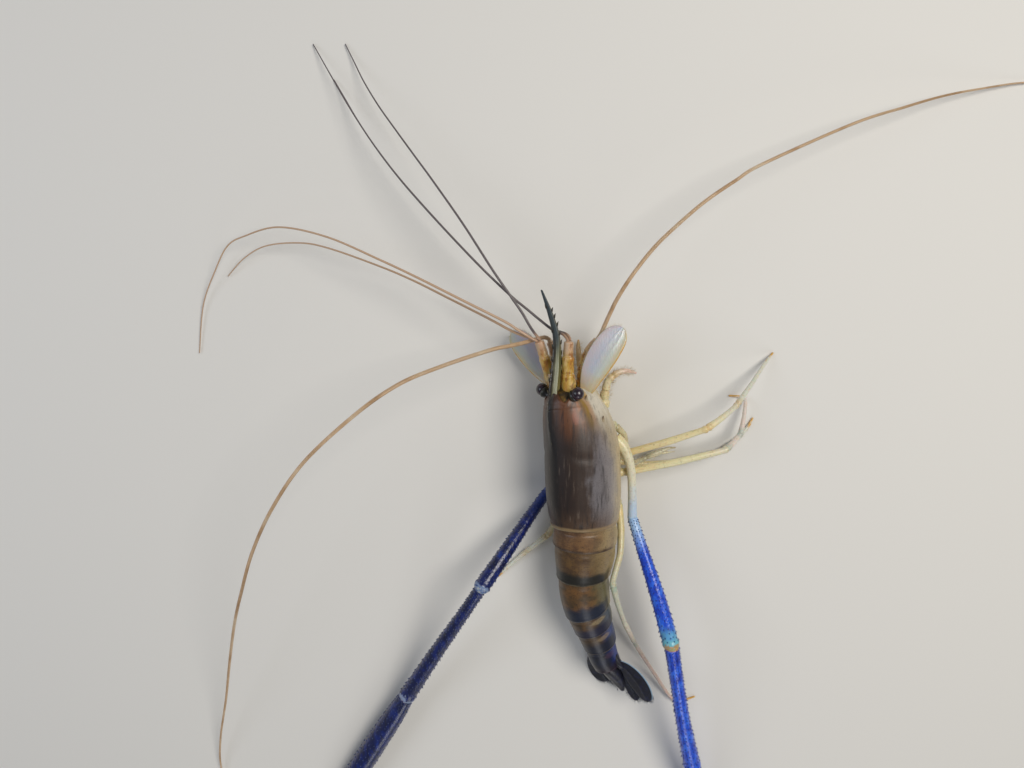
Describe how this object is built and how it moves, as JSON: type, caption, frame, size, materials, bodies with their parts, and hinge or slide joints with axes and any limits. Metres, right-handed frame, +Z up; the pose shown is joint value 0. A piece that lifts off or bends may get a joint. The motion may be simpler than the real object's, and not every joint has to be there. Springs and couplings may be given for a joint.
{
  "type": "giant river prawn, still life-size model",
  "caption": "Still life-size giant river prawn at rest on its side, with long blue claws trailing, toothed rostrum, antennae spread and tail fan open.",
  "frame": {"origin": "middle of the base of the whole model's box, on the floor", "axes": "+Z up from the floor, +Y from the tail to the head, along the model's longest side"},
  "size_m": [0.5244, 0.5764, 0.0689],
  "materials": {
    "shell": "gloss",
    "eye": "gloss",
    "blue_claw": "gloss",
    "pale_limb": "gloss",
    "amber_head_parts": "gloss",
    "antennal_scale": "gloss",
    "feeler": "gloss",
    "tail_fan": "gloss"
  },
  "bodies": {
    "root": {"abdomen_somite_1": "shell", "abdomen_somite_2": "shell", "abdomen_somite_3": "shell", "abdomen_somite_4": "shell", "abdomen_somite_5": "shell", "abdomen_somite_6": "shell", "antenna_base_left": "amber_head_parts", "antenna_base_right": "amber_head_parts", "antenna_left_1": "feeler", "antenna_left_2": "feeler", "antenna_left_3": "feeler", "antenna_right_1": "feeler", "antenna_right_2": "feeler", "antenna_right_3": "feeler", "antennal_scale_left": "antennal_scale", "antennal_scale_right": "antennal_scale", "antennule_base_left": "amber_head_parts", "antennule_base_right": "amber_head_parts", "antennule_left_inner": "feeler", "antennule_left_outer": "feeler", "antennule_left_third": "feeler", "antennule_right_inner": "feeler", "antennule_right_outer": "feeler", "big_arm_carpus_left": "blue_claw", "big_arm_carpus_right": "blue_claw", "big_arm_ischium_left": "pale_limb", "big_arm_ischium_right": "pale_limb", "big_arm_merus_left": "blue_claw", "big_arm_merus_right": "blue_claw", "big_arm_moving_left": "blue_claw", "big_arm_moving_right": "blue_claw", "big_arm_palm_left": "blue_claw", "big_arm_palm_right": "blue_claw", "carapace": "shell", "eye_left": "eye", "eye_right": "eye", "leg_1_left": "pale_limb", "leg_1_right": "pale_limb", "leg_3_left": "pale_limb", "leg_3_right": "pale_limb", "leg_4_left": "pale_limb", "leg_4_right": "pale_limb", "leg_5_left": "pale_limb", "leg_5_right": "pale_limb", "maxilliped_left": "pale_limb", "maxilliped_right": "pale_limb", "pleopod_1_left": "pale_limb", "pleopod_1_right": "pale_limb", "pleopod_2_left": "pale_limb", "pleopod_2_right": "pale_limb", "pleopod_3_left": "pale_limb", "pleopod_3_right": "pale_limb", "pleopod_4_left": "pale_limb", "pleopod_4_right": "pale_limb", "pleopod_5_left": "pale_limb", "pleopod_5_right": "pale_limb", "telson": "tail_fan", "uropod_left": "tail_fan", "uropod_right": "tail_fan"}
  },
  "joints": []
}
